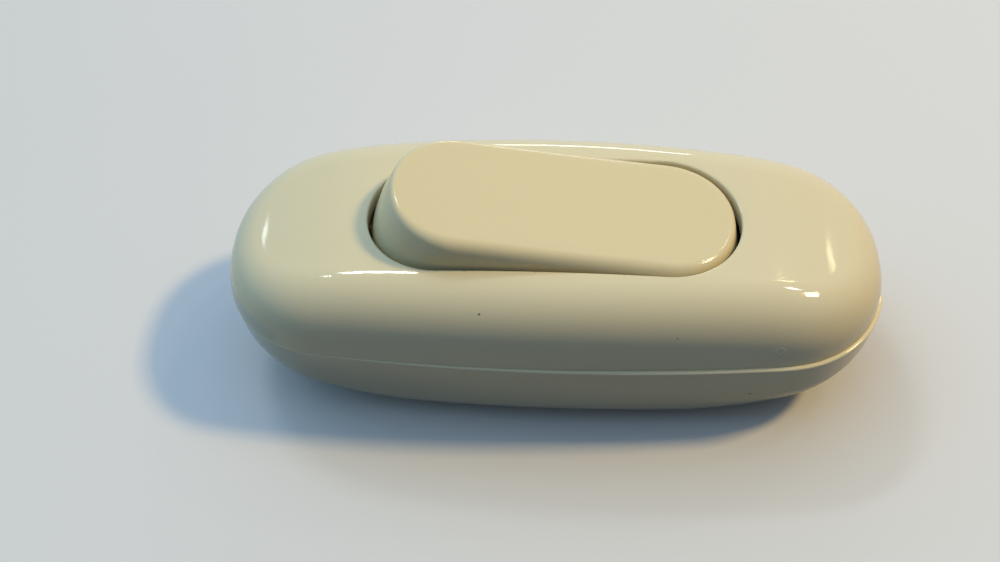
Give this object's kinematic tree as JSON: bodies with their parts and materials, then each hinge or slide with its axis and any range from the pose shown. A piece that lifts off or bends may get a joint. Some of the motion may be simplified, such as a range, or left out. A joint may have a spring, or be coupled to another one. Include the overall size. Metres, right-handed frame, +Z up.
{
  "type": "inline cord switch",
  "caption": "Rounded two-shell inline cord switch with a long stadium-shaped rocker raised at its left end and a cord inlet at each end.",
  "frame": {"origin": "centre of the box at the flat underside", "axes": "+X along the cord towards the rocker's low end, +Y to the rear, +Z up"},
  "size_m": [0.087, 0.035, 0.0298],
  "materials": {
    "cream_shell": "gloss",
    "cream_rocker": "satin gloss",
    "carrier_plastic": "matte",
    "plunger_plastic": "matte",
    "brass": "stamped",
    "zinc_steel": "zinc plated",
    "spring_steel": "drawn wire",
    "contact_silver": "polished"
  },
  "bodies": {
    "housing": {"base_shell": "cream_shell", "cover_shell": "cream_shell", "contact_carrier": "carrier_plastic", "earth_terminal": "brass", "terminal_screws": "zinc_steel", "clamp_screws": "zinc_steel", "housing_screws": "zinc_steel", "fixed_contact_front": "contact_silver", "fixed_contact_rear": "contact_silver", "line_terminal_front": "brass", "line_terminal_rear": "brass", "pivot_terminal_front": "brass", "pivot_terminal_rear": "brass", "cord_clamp_left": "carrier_plastic", "cord_clamp_right": "carrier_plastic"},
    "rocker": {"rocker": "cream_rocker", "plunger_spring_front": "spring_steel", "plunger_spring_rear": "spring_steel"},
    "plunger_front": {"plunger_front": "plunger_plastic"},
    "plunger_rear": {"plunger_rear": "plunger_plastic"},
    "bridge_front": {"contact_bridge_front": "brass", "bridge_contact_front": "contact_silver"},
    "bridge_rear": {"contact_bridge_rear": "brass", "bridge_contact_rear": "contact_silver"}
  },
  "joints": [
    {"name": "rocker_tilt", "type": "hinge", "parent": "housing", "child": "rocker", "pos_m": [0, 0, 0.0168], "axis": [0, 1, 0], "range_deg": [-15.8, 0]},
    {"name": "plunger_front_slide", "type": "slide", "parent": "rocker", "child": "plunger_front", "axis": [0.1374, 0, 0.9905], "range_m": [0, 0.0012], "stiffness_N_per_m": 400, "springref_m": -0.003, "deforming": ["plunger_spring_front"]},
    {"name": "plunger_rear_slide", "type": "slide", "parent": "rocker", "child": "plunger_rear", "axis": [0.1374, 0, 0.9905], "range_m": [0, 0.0012], "stiffness_N_per_m": 400, "springref_m": -0.003, "deforming": ["plunger_spring_rear"]},
    {"name": "bridge_front_tilt", "type": "hinge", "parent": "housing", "child": "bridge_front", "pos_m": [0, -0.0053, 0.00875], "axis": [0, 1, 0], "range_deg": [0, 26]},
    {"name": "bridge_rear_tilt", "type": "hinge", "parent": "housing", "child": "bridge_rear", "pos_m": [0, 0.0053, 0.00875], "axis": [0, 1, 0], "range_deg": [0, 26]}
  ],
  "couplings": [
    {"joint": "bridge_front_tilt", "follows": "rocker_tilt", "ratio": -1.2658},
    {"joint": "bridge_rear_tilt", "follows": "rocker_tilt", "ratio": -1.2658}
  ]
}
